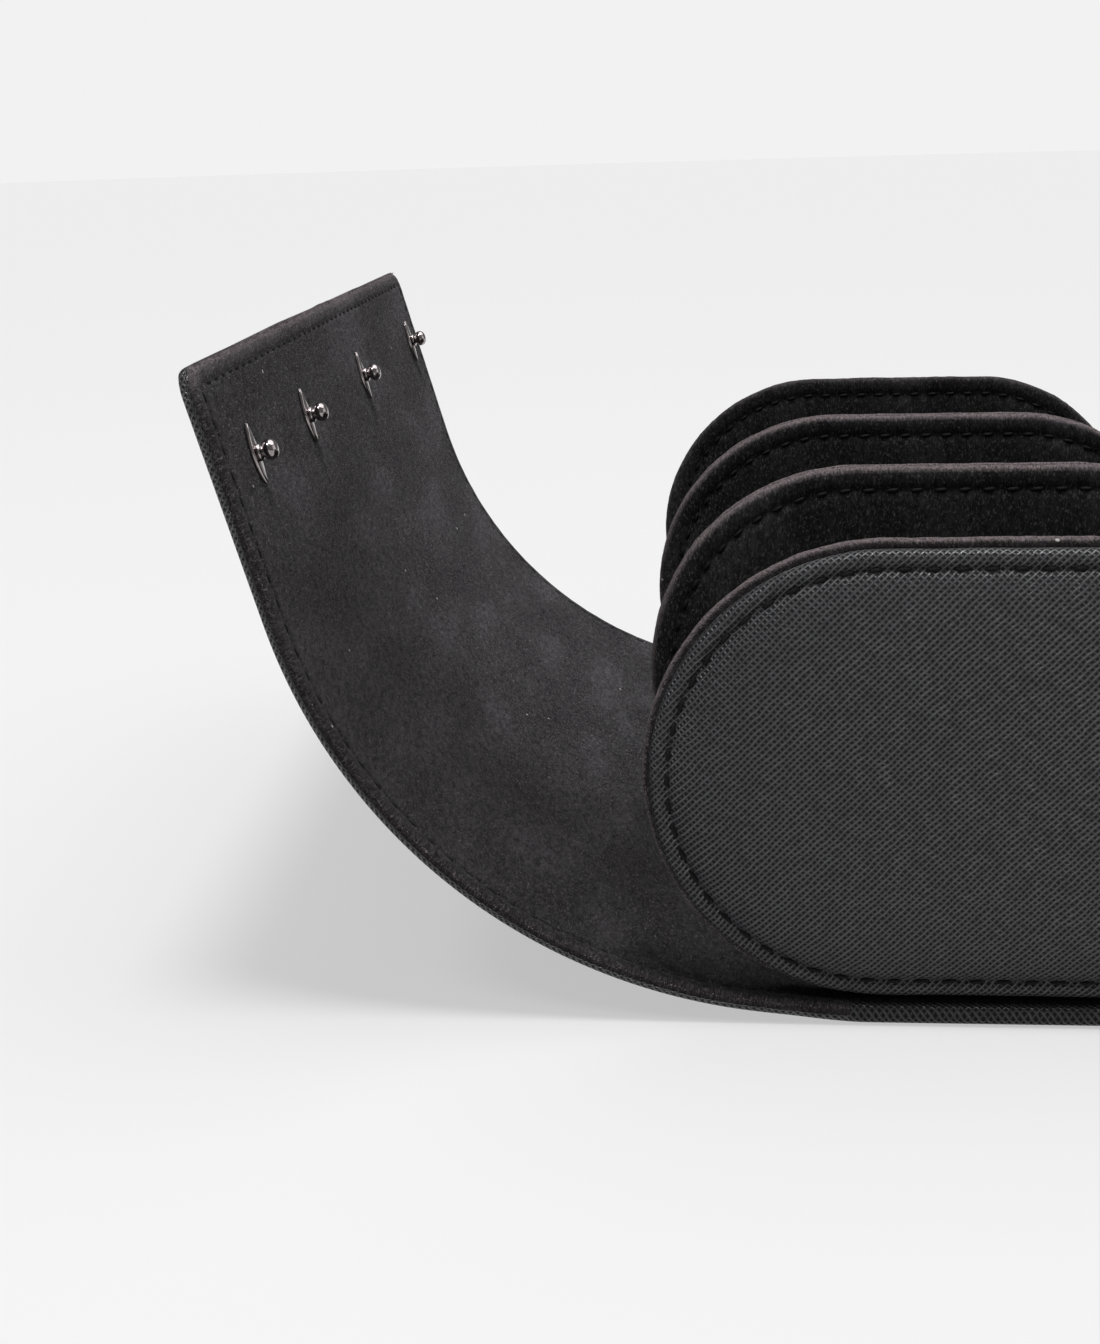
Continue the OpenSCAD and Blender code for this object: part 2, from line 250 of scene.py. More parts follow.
def napSuede():
    # microfibre suede with a short brushed nap: soft grey-brown fuzz at its edges, paler partly as a painted
    # highlight, cloudy where it was stroked,
    #     painted shade darkening it towards one edge, with pale fibre ends and a few specks of lint
    material, tree = newMaterial("microfibreSuede")
    place = addNode(tree, "ShaderNodeUVMap", uv_map="surfaceMm")
    brushed = addNode(tree, "ShaderNodeMapping", {"Scale": (1, 0.42, 1)}, {"Vector": place.outputs[0]})
    cloud = addNode(tree, "ShaderNodeTexNoise", {"Scale": 0.055, "Detail": 4.0, "Roughness": 0.6},
                    {"Vector": brushed.outputs[0]})
    matted = addNode(tree, "ShaderNodeTexNoise", {"Scale": 0.75, "Detail": 6.0, "Roughness": 0.82, "Distortion": 0.3},
                     {"Vector": brushed.outputs[0]})
    fibre = addNode(tree, "ShaderNodeTexNoise", {"Scale": 2.4, "Detail": 3.0, "Roughness": 0.7, "Distortion": 0.9},
                    {"Vector": brushed.outputs[0]})
    color = rampNode(tree, cloud.outputs["Fac"], [
        (0.36, hexColor("#131214")), (0.5, hexColor("#202021")), (0.64, hexColor("#313032"))])
    mottle = addNode(tree, "ShaderNodeMapRange", {"From Min": 0.35, "From Max": 0.65, "To Min": 0.2, "To Max": 1.7},
                     {"Value": matted.outputs["Fac"]})
    toned = addNode(tree, "ShaderNodeVectorMath", {}, {0: color.outputs["Color"], "Scale": mottle.outputs["Result"]},
                    operation="SCALE")
    ends = addNode(tree, "ShaderNodeMapRange", {"From Min": 0.53, "From Max": 0.7, "To Max": 0.8},
                   {"Value": fibre.outputs["Fac"]})
    fuzz = addNode(tree, "ShaderNodeMix", {"B": hexColor("#6a6668")}, {}, data_type="RGBA")
    tree.links.new(ends.outputs["Result"], fuzz.inputs["Factor"])
    tree.links.new(toned.outputs[0], fuzz.inputs["A"])
    # painted shade: the suede darkens towards one edge, less far out along the flaps; the edges are paler and
    # browner, the cut fibres' own colour with a painted highlight
    spot = addNode(tree, "ShaderNodeSeparateXYZ", {}, {"Vector": place.outputs[0]})
    reach = addNode(tree, "ShaderNodeMath", {}, {0: spot.outputs["X"]}, operation="ABSOLUTE")
    least = addNode(tree, "ShaderNodeMapRange", {"From Min": 155, "From Max": 190, "To Min": 0.4, "To Max": 0.85},
                    {"Value": reach.outputs[0]})
    paintedEdgeShade = addNode(tree, "ShaderNodeMapRange", {"From Min": -25, "From Max": 60, "To Min": 1.0},
                  {"Value": spot.outputs["Y"], "To Max": least.outputs["Result"]}, interpolation_type="SMOOTHSTEP")
    shadedSuedeColor = addNode(tree, "ShaderNodeVectorMath", {}, {0: fuzz.outputs["Result"], "Scale": paintedEdgeShade.outputs["Result"]},
                   operation="SCALE")
    # pale cut fibres at the edges, partly a painted highlight where the overhead light falls on them
    fuzzHighlightAmount = addNode(tree, "ShaderNodeAttribute", attribute_name="edgeFuzzHighlight")
    tuft = addNode(tree, "ShaderNodeMapRange", {"From Min": 0.38, "From Max": 0.62, "To Min": 0.15},
                   {"Value": fibre.outputs["Fac"]})
    fuzzHighlightMix = addNode(tree, "ShaderNodeMath", {}, {0: fuzzHighlightAmount.outputs["Fac"], 1: tuft.outputs["Result"]},
                     operation="MULTIPLY")
    paleFuzzHighlight = addNode(tree, "ShaderNodeMix", {"B": hexColor("#6b6163")}, {}, data_type="RGBA")
    tree.links.new(fuzzHighlightMix.outputs[0], paleFuzzHighlight.inputs["Factor"])
    tree.links.new(shadedSuedeColor.outputs[0], paleFuzzHighlight.inputs["A"])
    speck = addNode(tree, "ShaderNodeTexVoronoi", {"Scale": 0.17, "Randomness": 1.0}, {"Vector": place.outputs[0]})
    chance = addNode(tree, "ShaderNodeSeparateColor", {}, {"Color": speck.outputs["Color"]})
    near = addNode(tree, "ShaderNodeMath", {1: 0.065}, {0: speck.outputs["Distance"]}, operation="LESS_THAN")
    rare = addNode(tree, "ShaderNodeMath", {1: 0.14}, {0: chance.outputs[0]}, operation="LESS_THAN")
    lint = addNode(tree, "ShaderNodeMath", {}, {0: near.outputs[0], 1: rare.outputs[0]}, operation="MULTIPLY")
    final = addNode(tree, "ShaderNodeMix", {"B": hexColor("#a5a2a3")}, {}, data_type="RGBA")
    tree.links.new(lint.outputs[0], final.inputs["Factor"])
    tree.links.new(paleFuzzHighlight.outputs["Result"], final.inputs["A"])
    rough = addNode(tree, "ShaderNodeMath", {1: 0.6}, {0: fibre.outputs["Fac"], 2: matted.outputs["Fac"]},
                    operation="MULTIPLY_ADD")
    bump = addNode(tree, "ShaderNodeBump", {"Strength": 0.9, "Distance": 0.0006}, {"Height": rough.outputs[0]})
    gleam = addNode(tree, "ShaderNodeMapRange", {"From Min": 0.3, "From Max": 0.7, "To Min": 0.02, "To Max": 0.34},
                    {"Value": matted.outputs["Fac"]})
    shader = addNode(tree, "ShaderNodeBsdfPrincipled", {
        "Roughness": 0.95, "Specular IOR Level": 0.1, "Sheen Roughness": 0.45, "Sheen Tint": hexColor("#858082")}, {
            "Normal": bump.outputs[0], "Sheen Weight": gleam.outputs["Result"]})
    tree.links.new(final.outputs["Result"], shader.inputs["Base Color"])
    finishMaterial(tree, shader)
    return material


def bondedThread():
    # black bonded polyester thread, twisted from two plies: a faint slanting gleam
    material, tree = newMaterial("bondedThread")
    place = addNode(tree, "ShaderNodeTexCoord")
    twist = addNode(tree, "ShaderNodeTexWave", {"Scale": 900.0, "Distortion": 1.5},
                    {"Vector": place.outputs["Object"]}, bands_direction="DIAGONAL")
    color = rampNode(tree, twist.outputs["Fac"], [(0.0, hexColor("#020202")), (1.0, hexColor("#0a0a0b"))])
    bump = addNode(tree, "ShaderNodeBump", {"Strength": 0.5, "Distance": 0.0001}, {"Height": twist.outputs["Fac"]})
    shader = addNode(tree, "ShaderNodeBsdfPrincipled", {"Roughness": 0.75, "Specular IOR Level": 0.2}, {
        "Base Color": color.outputs["Color"], "Normal": bump.outputs[0]})
    finishMaterial(tree, shader)
    return material


def nickelPlate():
    # brass plated with dark polished nickel: a mirror with very fine polishing haze
    material, tree = newMaterial("polishedNickel")
    place = addNode(tree, "ShaderNodeTexCoord")
    haze = addNode(tree, "ShaderNodeTexNoise", {"Scale": 900.0, "Detail": 4.0}, {"Vector": place.outputs["Object"]})
    gloss = addNode(tree, "ShaderNodeMapRange", {"To Min": 0.1, "To Max": 0.2}, {"Value": haze.outputs["Fac"]})
    tint = rampNode(tree, haze.outputs["Fac"], [(0.3, hexColor("#8d8686")), (0.7, hexColor("#a8a1a1"))])
    shader = addNode(tree, "ShaderNodeBsdfPrincipled", {"Metallic": 1.0}, {
        "Base Color": tint.outputs["Color"], "Roughness": gloss.outputs["Result"]})
    finishMaterial(tree, shader)
    return material


def suedeFibre():
    # single cut fibres of the pile, paler and browner at the edges where they stand up
    material, tree = newMaterial("cutSuedeFibre")
    place = addNode(tree, "ShaderNodeTexCoord")
    tone = addNode(tree, "ShaderNodeTexNoise", {"Scale": 400.0, "Detail": 2.0}, {"Vector": place.outputs["Object"]})
    color = rampNode(tree, tone.outputs["Fac"], [(0.35, hexColor("#3f393b")), (0.65, hexColor("#8f8487"))])
    shader = addNode(tree, "ShaderNodeBsdfPrincipled", {
        "Roughness": 0.8, "Specular IOR Level": 0.15, "Sheen Weight": 0.15}, {"Base Color": color.outputs["Color"]})
    finishMaterial(tree, shader)
    return material


def greyBoard():
    # millboard: flat recycled pulp with darker flecks
    material, tree = newMaterial("millboard")
    place = addNode(tree, "ShaderNodeTexCoord")
    fleck = addNode(tree, "ShaderNodeTexNoise", {"Scale": 700.0, "Detail": 5.0}, {"Vector": place.outputs["Object"]})
    color = rampNode(tree, fleck.outputs["Fac"], [(0.3, hexColor("#7d7160")), (0.7, hexColor("#a3947c"))])
    bump = addNode(tree, "ShaderNodeBump", {"Strength": 0.3, "Distance": 0.0001}, {"Height": fleck.outputs["Fac"]})
    shader = addNode(tree, "ShaderNodeBsdfPrincipled", {"Roughness": 0.85}, {
        "Base Color": color.outputs["Color"], "Normal": bump.outputs[0]})
    finishMaterial(tree, shader)
    return material


buildStudio()
# the second leather is the darker copy, painted shade for the base
leather, baseLeather = grainLeather("crossGrainLeather"), grainLeather("shadedBaseLeather")
suede, thread, nickel, millboard = napSuede(), bondedThread(), nickelPlate(), greyBoard()
fibreTips = suedeFibre()
print("materials ready")


def growPiece(name, around, rings, place, mark=None, edge=None):
    # a disc is extruded ring after ring, and each ring's points go where place(ring, turn) says
    bpy.ops.object.select_all(action="DESELECT")
    bpy.ops.mesh.primitive_circle_add(vertices=around, radius=0.01, fill_type="NGON")
    piece = bpy.context.object
    piece.name = piece.data.name = name
    bpy.ops.object.mode_set(mode="EDIT")
    bpy.ops.mesh.select_mode(type="FACE")
    bpy.ops.mesh.select_all(action="SELECT")
    mesh = bmesh.from_edit_mesh(piece.data)
    mesh.verts.layers.int.new("turn")
    mesh.verts.layers.int.new("ring")
    mesh.verts.ensure_lookup_table()
    turn = mesh.verts.layers.int["turn"]
    for i, point in enumerate(mesh.verts):
        point[turn] = i
        point.co = Vector(place(0, i)) * mm
    bmesh.update_edit_mesh(piece.data)
    for ringNumber in range(1, rings):
        bpy.ops.mesh.extrude_region_move()
        mesh = bmesh.from_edit_mesh(piece.data)
        turn, ring = mesh.verts.layers.int["turn"], mesh.verts.layers.int["ring"]
        for point in mesh.verts:
            if point.select:
                point[ring] = ringNumber
                point.co = Vector(place(ringNumber, point[turn])) * mm
        bmesh.update_edit_mesh(piece.data)
    bpy.ops.mesh.select_all(action="SELECT")
    bpy.ops.mesh.normals_make_consistent(inside=False)
    if bmesh.from_edit_mesh(piece.data).calc_volume(signed=True) < 0:  # a thin folded strip can come out inside out
        bpy.ops.mesh.flip_normals()
    if mark:  # lays the surface out flat, in mm, for the materials
        mesh = bmesh.from_edit_mesh(piece.data)
        turn, ring = mesh.verts.layers.int["turn"], mesh.verts.layers.int["ring"]
        layer = mesh.loops.layers.uv.new("surfaceMm")
        if edge:  # 1 where an edge's fibres stand up pale, which also paints a highlight on the edge
            fuzzHighlightLayer = mesh.verts.layers.float.new("edgeFuzzHighlight")
            for point in mesh.verts:
                point[fuzzHighlightLayer] = edge(point[ring], point[turn])
        for face in mesh.faces:
            turns = [corner.vert[turn] for corner in face.loops]
            wraps = len(turns) == 4 and max(turns) - min(turns) > 2
            for corner in face.loops:
                count = corner.vert[turn]
                if wraps and count == 0:
                    count = around
                corner[layer].uv = mark(corner.vert[ring], count)
        bmesh.update_edit_mesh(piece.data)
    bpy.ops.object.mode_set(mode="OBJECT")
    for extra in ("turn", "ring"):
        piece.data.attributes.remove(piece.data.attributes[extra])
    bpy.ops.object.shade_smooth_by_angle(angle=math.radians(48))
    return piece


def dress(piece, material, slotName):
    piece.data.materials.clear()
    piece.data.materials.append(material)
    return piece


# the stadium outline of a panel: steps round each end and along each flat
outlineStep = {"arc": 112, "flat": 36}


def stadiumOutline():
    half = boxSize["panelFlat"] / 2
    points = []
    for side, start in ((1, -90), (-1, 90)):
        for i in range(outlineStep["arc"] + 1):
            angle = math.radians(start + i * 180 / outlineStep["arc"])
            points.append((side * half, math.cos(angle), math.sin(angle)))
        for i in range(1, outlineStep["flat"]):
            points.append((side * (half - i * boxSize["panelFlat"] / outlineStep["flat"]), 0.0, side * 1.0))
    return points


outline = stadiumOutline()
perimeterStep = math.pi * boxSize["panelRadius"] / outlineStep["arc"]

# one stitch: a short length of thread that dips into the leather at both ends
stitchShape = {"length": 3.0, "radius": 0.42, "sides": 8, "pitch": 5.0}

# a panel half's cross-section: (distance in from the rim, height above the seam), mm
panelShape = {
    "leather": [(1.9, 0.0), (1.6, 0.3), (1.45, 0.8), (1.4, 1.5), (1.5, 2.1), (1.75, 2.6), (2.2, 2.97), (2.75, 3.14),
                (3.3, 3.2), (3.9, 3.14), (4.35, 2.9), (4.8, 2.72), (5.2, 3.0), (5.7, 3.45), (6.6, 4.0), (8, 4.5),
                (10, 5.0), (12.5, 5.4), (16, 5.75), (21, 6.0), (28, 6.1), (36, 6.1)],
    "leatherBack": [(1.9, 0.0), (0.65, 0.05), (0.3, 0.3), (0.14, 0.9), (0.12, 1.7), (0.2, 2.5), (0.45, 3.15),
                    (0.9, 3.6), (1.7, 3.8), (2.7, 3.84), (3.7, 3.78), (4.3, 3.6), (4.8, 3.45), (5.3, 3.65),
                    (6.2, 3.9), (9, 4.05), (15, 4.12), (24, 4.15), (36, 4.15)],
    "suede": [(0.6, 0.0), (0.15, 0.3), (0.0, 0.9), (0.0, 1.7), (0.15, 2.4), (0.5, 2.95), (1.1, 3.35), (2.0, 3.52),
              (3.0, 3.52), (3.8, 3.44), (4.3, 3.28), (4.7, 3.16), (5.2, 3.32), (6.0, 3.6), (8, 3.8), (13, 3.9),
              (22, 3.92), (36, 3.92)],
}
stitchDepth = {"leather": 2.84, "leatherBack": 3.54, "suede": 3.24}  # above the seam, in the groove
panelGroove = 4.8
endSeam = 3.2  # how deep the leather of an end panel reaches
panelSway = {0: 0.0, 1: 0.5, 2: -0.45, 3: 0.0}  # a hand-stood divider leans a little, mm at its top


def panelFront(number):
    return -boxDepth / 2 + number * boxSize["panelPitch"]


def swayed(number, x, z):
    rise = max(0.0, (z - boxSize["baseThick"]) / (2 * boxSize["panelRadius"]))
    return panelSway[number] * rise * rise * math.cos(x / 60)


def panelPoint(number, seam, facing, inset, height, turn, fuzzy):
    centre, dx, dz = outline[turn % len(outline)]
    radius = boxSize["panelRadius"] - inset
    wave = 0.0
    if inset < 9:
        wave = 0.16 * soften(turn * perimeterStep, number * 37 + facing * 11, height, 7) * smooth(9, 2, inset)
    if fuzzy and inset < 3:  # short fibres stand up unevenly round the edge
        wave += 0.13 * soften(turn * 7.3, number * 5 + facing, height * 9, 1.7)
    x = centre + dx * (radius + wave)
    z = panelMid + dz * (radius + wave)
    swell = 0.12 * soften(x, z, number * 50 + facing * 20, 16) * smooth(3, 9, inset)
    if abs(inset - panelGroove) < 0.9:  # each stitch pulls the groove down at its ends
        swell -= 0.09 * (1 + math.cos(2 * math.pi * turn * perimeterStep / stitchShape["pitch"])) / 2
    z = max(z, boxSize["baseThick"] - 0.1)
    return x, seam + facing * (height + swell) + swayed(number, x, z), z


def panelHalf(name, number, seam, facing, shape, material, slotName):
    around = len(outline)
    lengths = [0.0]
    for a, b in zip(shape[::-1], shape[-2::-1]):
        lengths.append(lengths[-1] + math.dist(a, b))
    lengths = lengths[::-1]
    inner = boxSize["panelRadius"] - shape[-1][0]

    def place(ring, turn):
        return panelPoint(number, seam, facing, shape[ring][0], shape[ring][1], turn, material is suede)

    def mark(ring, turn):
        centre, dx, dz = outline[turn % around]
        reach = inner + lengths[ring]
        return centre + dx * reach + number * 31, dz * reach + facing * 17

    def edge(ring, turn):
        # the rear panel's edges get a fifth of the pale fuzz and painted highlight: painted shade
        return (0.2 if number == 3 else 1.0) * smooth(0.9, 0.1, shape[ring][0])

    piece = growPiece(name, around, len(shape), place, mark, edge)
    return dress(piece, material, slotName)


fibreShape = {"length": 0.5, "thick": 0.07, "panelRows": 5, "edgeGap": 0.3}


def stitchSeed():
    half, radius, sides = stitchShape["length"] / 2, stitchShape["radius"], stitchShape["sides"]
    rows = [(-1.0, 0.25, -0.5), (-0.88, 0.75, -0.26), (-0.5, 1.0, 0.0), (0.0, 1.05, 0.07), (0.5, 1.0, 0.0),
            (0.88, 0.75, -0.26), (1.0, 0.25, -0.5)]

    def place(ring, turn):
        along, thick, lift = rows[ring]
        angle = 2 * math.pi * turn / sides
        return along * half, radius * thick * math.cos(angle) * 1.1, lift + radius * thick * math.sin(angle)

    return growPiece("stitchSeed", sides, len(rows), place)


seedStitch = stitchSeed()


def sewRow(name, spots, body=None):
    # spots: (middle, along, up) of each stitch, in mm; each is a copy of the first, then all are joined
    bpy.ops.object.select_all(action="DESELECT")
    made = []
    for count, (middle, along, up) in enumerate(spots):
        copy = bpy.data.objects.new(name, seedStitch.data.copy())
        bpy.context.collection.objects.link(copy)
        along, up = Vector(along).normalized(), Vector(up).normalized()
        across = up.cross(along).normalized()
        slant = 0.1 + 0.05 * soften(count, 3, 5, 1.7)  # a lockstitch lies a little askew
        along = (along + across * slant).normalized()
        across = up.cross(along).normalized()
        base = Vector(middle)
        for point in copy.data.vertices:
            local = point.co / mm
            point.co = (base + along * local.x + across * local.y + up * local.z) * mm
        made.append(copy)
    for copy in made:
        copy.select_set(True)
    bpy.context.view_layer.objects.active = made[0]
    bpy.ops.object.join()
    row = bpy.context.object
    row.name = row.data.name = name
    dress(row, thread, "thread")
    if body:
        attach(row, body)
    return row


def fibreRow(name, spots, body=None):
    # spots: (root, outwards, aside) in mm; one fine fibre is made, lined up in a row, and each is bent its own way
    bpy.ops.object.select_all(action="DESELECT")
    bpy.ops.mesh.primitive_cone_add(vertices=3, radius1=0.05 * mm, depth=0.7 * mm)
    row = bpy.context.object
    row.name = row.data.name = name
    bpy.ops.object.modifier_add(type="ARRAY")
    row.modifiers[0].count = len(spots)
    row.modifiers[0].relative_offset_displace = (2, 0, 0)
    bpy.ops.object.modifier_apply(modifier=row.modifiers[0].name)
    for count, (root, outwards, aside) in enumerate(spots):
        outwards, aside = Vector(outwards), Vector(aside)
        across = outwards.cross(aside)
        fall = soften(count * 1.7, 2, 9, 1) * 0.8, soften(count * 2.3, 7, 1, 1) * 0.8
        length = fibreShape["length"] * (0.65 + 0.9 * abs(soften(count * 1.3, 5, 3, 1)))
        corners = [aside, across * 0.87 - aside * 0.5, -across * 0.87 - aside * 0.5]
        base = Vector(root) - outwards * 0.15
        points = row.data.vertices[count * 4:count * 4 + 4]
        for number, point in enumerate(points[:3]):
            point.co = (base + corners[number] * fibreShape["thick"]) * mm
        points[3].co = (base + (outwards + aside * fall[0] + across * fall[1]) * length) * mm
    bpy.ops.object.mode_set(mode="EDIT")
    bpy.ops.mesh.select_all(action="SELECT")
    bpy.ops.mesh.normals_make_consistent(inside=False)
    bpy.ops.object.mode_set(mode="OBJECT")
    dress(row, fibreTips, "suede")
    if body:
        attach(row, body)
    return row


def panelFibres(name, number, seam, facing, shape):
    spots = []
    total = fibreShape["panelRows"] * len(outline)
    for count in range(total):
        turn = (count * 7) % len(outline)
        ring = 1 + (count * 5) % 5
        x, y, z = panelPoint(number, seam, facing, shape[ring][0], shape[ring][1], turn, True)
        shift = soften(count * 0.9, 4, 4, 1) * 1.4
        dx, dz = outline[turn][1:]
        if z < boxSize["baseThick"] + 1.5:
            continue
        tilt = 0.2 * (ring - 2)
        spots.append(((x - dz * shift, y, z + dx * shift), (dx, facing * tilt, dz), (-dz, 0, dx)))
    return fibreRow(name, spots, "box")


def panelStitches(name, number, faces):
    spots = []
    pitch = stitchShape["pitch"]
    radius = boxSize["panelRadius"] - panelGroove
    half = boxSize["panelFlat"] / 2
    for seam, facing, depth in faces:
        for side in (1, -1):
            turns = round(math.pi * radius / pitch)
            for i in range(turns):
                angle = math.radians((i + 0.5) * 180 / turns - 90) + (0 if side > 0 else math.pi)
                x = side * half + radius * math.cos(angle)
                z = panelMid + radius * math.sin(angle)
                spots.append(((x, seam + facing * depth + swayed(number, x, z), z),
                              (-math.sin(angle), 0, math.cos(angle)), (0, facing, 0)))
            runs = round(boxSize["panelFlat"] / pitch)
            for i in range(runs):
                x = side * (half - (i + 0.5) * boxSize["panelFlat"] / runs)
                z = panelMid + side * radius
                spots.append(((x, seam + facing * depth + swayed(number, x, z), z), (-side, 0, 0), (0, facing, 0)))
    return sewRow(name, spots, "box")


def buildPanels():
    for number, title in enumerate(("frontPanel", "frontDivider", "rearDivider", "rearPanel")):
        low = panelFront(number)
        nodes = ("front_panel", "front_divider", "rear_divider", "rear_panel")[number]
        if number == 0:
            seam, frontShape, backShape = low + endSeam, "leather", "leatherBack"
        elif number == 3:
            seam, frontShape, backShape = low + boxSize["panelThick"] - endSeam, "leatherBack", "leather"
        else:
            seam, frontShape, backShape = low + boxSize["panelThick"] / 2, "suede", "suede"
        faces = (("Front", -1, frontShape), ("Back", 1, backShape))
        stands = ("_lining", "_cover") if number == 3 else ("_cover", "_lining")
        for (face, facing, shape), stand in zip(faces, stands):
            finish = (leather, "leather") if shape == "leather" else (suede, "suede")
            half = panelHalf(title + face, number, seam, facing, panelShape[shape], *finish)
            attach(half, "box")
            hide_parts(nodes + stand)
        for face, facing, shape in faces:
            if shape != "leather":
                panelFibres(f"{title}{face}Fibres", number, seam, facing, panelShape[shape])
        row = panelStitches(title + "Stitches", number,
                            [(seam, facing, stitchDepth[shape]) for face, facing, shape in faces])
        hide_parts(nodes + "_stitching")
    print("panels ready")


buildPanels()


def readFolds(side):
    # fold places and bends at rest, from the frame's own joints
    folds = [j for j in frame["joints"] if j["name"].startswith(side)]
    places = [(abs(j["pos_m"][0]) / mm, j["pos_m"][2] / mm) for j in folds]
    return places, [-j["range_deg"][0] for j in folds]


class FlapLine:
    def __init__(self, side):
        self.sign = -1 if side == "left" else 1
        self.places, self.bends = readFolds(side)
        self.link = math.dist(self.places[0], self.places[1])
        self.slopes = [0.0]
        for bend in self.bends:
            self.slopes.append(self.slopes[-1] + math.radians(bend))
        self.start = self.places[0][0] - self.link / 2
        self.bodies = ["box"] + [f"{side}_strip_{i}" for i in range(1, 6)] + [f"{side}_end"]
        self.length = self.places[0][0] + 5 * self.link + boxSize["endLength"][side]

    def along(self, s):
        # the lining's line and its slope at a distance s from the middle: arcs between the folds
        if s <= self.start:
            return s, boxSize["baseThick"], 0.0
        number = min(int((s - self.start) / self.link), len(self.bends))
        rest = s - self.start - number * self.link
        slope = self.slopes[number]
        if number == 0:
            x, z = self.start, boxSize["baseThick"]
        else:
            px, pz = self.places[number - 1]
            x, z = px + self.link / 2 * math.cos(slope), pz + self.link / 2 * math.sin(slope)
        if number == len(self.bends):
            return x + rest * math.cos(slope), z + rest * math.sin(slope), slope
        bend = math.radians(self.bends[number])
        radius = self.link / 2 / math.tan(bend / 2)
        angle = slope + bend * rest / self.link
        return (x + radius * (math.sin(angle) - math.sin(slope)),
                z + radius * (math.cos(slope) - math.cos(angle)), angle)

    def point(self, s, y, up):
        x, z, angle = self.along(s)
        return self.sign * (x - up * math.sin(angle)), y, z + up * math.cos(angle)

    def directions(self, s):
        angle = self.along(s)[2]
        return (self.sign * math.cos(angle), 0, math.sin(angle)), (-self.sign * math.sin(angle), 0, math.cos(angle))


flapLines = {side: FlapLine(side) for side in ("left", "right")}
sheetShape = {
    "grooveInset": 3.7,
    "grooveDepth": 0.36,
    "grooveWidth": 0.6,
    "edgeRound": 1.6,
    "wave": 0.16,
    "liningSink": 0.26,  # keeps the suede's waves clear of the panels when the box is closed
    "liningFoot": -0.95,
    "baseLip": 1.9,
    "tickPlace": 28.8,
    "trimReach": 12,
}


def underside(s):
    return -boxSize["baseThick"] + (boxSize["baseThick"] - boxSize["sheetThick"]) * smooth(26, 42, s)


def seamLevel(line, s):
    # the leather laps further up the side near the free end
    return -1.95 + 0.75 * smooth(46, 8, line.length - s)


def edgeDistance(line, s, y):
    side = boxSize["sheetHalfWidth"] - abs(y)
    end = line.length - s
    corner = boxSize["cornerRadius"]
    if side < corner and end < corner:
        return corner - math.hypot(corner - side, corner - end)
    return min(side, end)


def halfWidth(line, s):
    end = line.length - s
    corner = boxSize["cornerRadius"]
    full = boxSize["sheetHalfWidth"]
    if end >= corner:
        return full
    return full - corner + math.sqrt(max(0.0, corner * corner - (corner - end) ** 2))


def liningTop(line, s, y, inset):
    away = max(0.0, edgeDistance(line, s, y) - inset)
    rim = -0.85 * max(0.0, 1 - away / 1.5) ** 2.2
    if away < 2:  # fibres at the edge
        rim += 0.1 * soften(s * 3, y * 3, 4, 2.1)
    pulled = sheetShape["grooveDepth"] * (0.8 + 0.5 * soften(s, y, 11, 5))
    groove = -pulled * math.exp(-((away - sheetShape["grooveInset"]) / sheetShape["grooveWidth"]) ** 2)
    wave = soften(s, y, 3, 19) + 0.5 * soften(s / 2.5, y, 8, 6)
    return rim + groove + (sheetShape["wave"] * wave - sheetShape["liningSink"]) * smooth(4, 10, away)


def acrossPlaces():
    # places across the sheet from its middle, close together near the edge
    places = [i * 5.0 for i in range(20)]
    edge = [98.5, 101, 102.7, 103.8, 104.5, 105.0, 105.4, 105.8, 106.2, 106.7, 107.3, 107.9, 108.5, 108.9, 109.2,
            109.42]
    return places + edge


def coverSection(lip):
    # right half of the leather's outline, from under the middle, round the edge, to the top of the middle
    full, turn = boxSize["sheetHalfWidth"], sheetShape["edgeRound"]
    points = [(i * 9.0, "under", 0.0) for i in range(12)] + [(full - 5, "under", 0.0), (full - 2.4, "under", 0.0)]
    for i in range(7):
        angle = math.radians(i * 15)
        points.append((full - turn + turn * math.sin(angle), "under", turn * (1 - math.cos(angle))))
    if lip:
        points += [(full, "top", -0.9), (full - 0.05, "top", -0.45), (full - 0.3, "top", -0.12),
                   (full - 0.8, "top", 0.0), (full - lip + 0.1, "top", -0.02), (full - lip, "top", -0.5)]
        points += [(full - lip - 0.2, "top", -1.0), (60, "top", -1.0), (0, "top", -1.0)]
    else:
        points += [(full, "seam", -0.2), (full - 0.15, "seam", 0.0), (full - 0.8, "seam", 0.0), (60, "seam", 0.0),
                   (0, "seam", 0.0)]
    return points


def liningSection(lip):
    full = boxSize["sheetHalfWidth"] - (lip + 0.1 if lip else 0.0)
    scale = full / boxSize["sheetHalfWidth"]
    points = [(0, "under", 0.0), (50, "under", 0.0), (full - 0.5, "under", 0.0), (full - 0.12, "flank", 0.0),
              (full, "flank", 0.35), (full, "flank", 0.7)]
    points += [(min(full, y * scale), "top", 0.0) for y in reversed(acrossPlaces())]
    return points


def sheetRows(start, stop, line):
    rows = []
    count = max(2, round((stop - start) / 1.75))
    end = line.length
    for i in range(count + 1):
        rows.append(start + (stop - start) * i / count)
    if stop > end - 0.01:
        rows = [s for s in rows if s < end - 7.5]
        rows += [end - d for d in (7, 6, 5.2, 4.7, 4.3, 4.0, 3.7, 3.4, 3.1, 2.7, 2.2, 1.7, 1.2, 0.8, 0.5, 0.25, 0.08,
                                   0.0)]
    return rows


